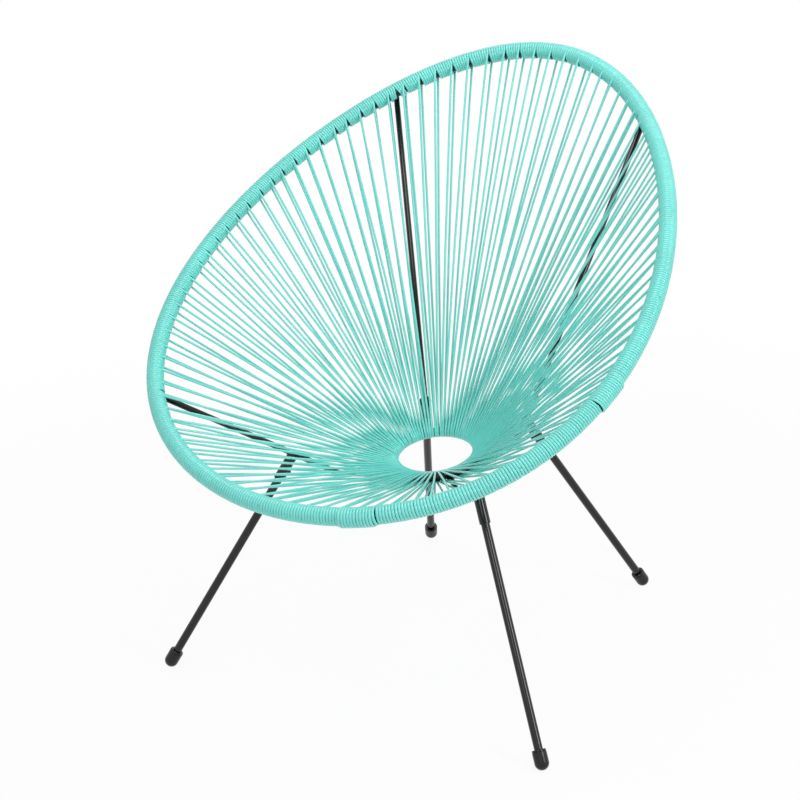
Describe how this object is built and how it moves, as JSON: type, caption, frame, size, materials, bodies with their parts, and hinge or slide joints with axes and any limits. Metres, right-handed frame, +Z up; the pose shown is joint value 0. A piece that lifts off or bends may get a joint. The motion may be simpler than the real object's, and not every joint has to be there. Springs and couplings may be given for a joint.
{
  "type": "acapulco chair",
  "caption": "Patio lounge chair: soft cord wound on an egg-shaped steel rim and laced to a small centre ring, on splayed capped legs.",
  "frame": {"origin": "on the floor, under the centre of the whole chair's bounding box", "axes": "+Z up, the sitter faces -Y, +X is the side on the right of a viewer who faces the chair's front"},
  "size_m": [0.7444, 0.77, 0.8244],
  "materials": {
    "frame_steel": "semi-gloss black paint",
    "foot_plastic": "glossy black plastic",
    "screw_steel": "blackened steel",
    "cord_plastic": "soft satin plastic cord, mint"
  },
  "bodies": {
    "root": {"rim_tube": "frame_steel", "centre_ring": "frame_steel", "strut_front_right": "frame_steel", "leg_socket_front_right": "frame_steel", "leg_front_right": "frame_steel", "foot_cap_front_right": "foot_plastic", "leg_screw_front_right": "screw_steel", "strut_front_left": "frame_steel", "leg_socket_front_left": "frame_steel", "leg_front_left": "frame_steel", "foot_cap_front_left": "foot_plastic", "leg_screw_front_left": "screw_steel", "strut_rear_right": "frame_steel", "leg_socket_rear_right": "frame_steel", "leg_rear_right": "frame_steel", "foot_cap_rear_right": "foot_plastic", "leg_screw_rear_right": "screw_steel", "strut_rear_left": "frame_steel", "leg_socket_rear_left": "frame_steel", "leg_rear_left": "frame_steel", "foot_cap_rear_left": "foot_plastic", "leg_screw_rear_left": "screw_steel", "cord_back_1": "cord_plastic", "cord_back_2": "cord_plastic", "cord_back_3": "cord_plastic", "cord_back_4": "cord_plastic", "cord_right_1": "cord_plastic", "cord_right_2": "cord_plastic", "cord_right_3": "cord_plastic", "cord_right_4": "cord_plastic", "cord_right_5": "cord_plastic", "cord_right_6": "cord_plastic", "cord_front_1": "cord_plastic", "cord_front_2": "cord_plastic", "cord_front_3": "cord_plastic", "cord_front_4": "cord_plastic", "cord_front_5": "cord_plastic", "cord_front_6": "cord_plastic", "cord_left_1": "cord_plastic", "cord_left_2": "cord_plastic", "cord_left_3": "cord_plastic", "cord_left_4": "cord_plastic", "cord_left_5": "cord_plastic", "cord_left_6": "cord_plastic"}
  },
  "joints": []
}
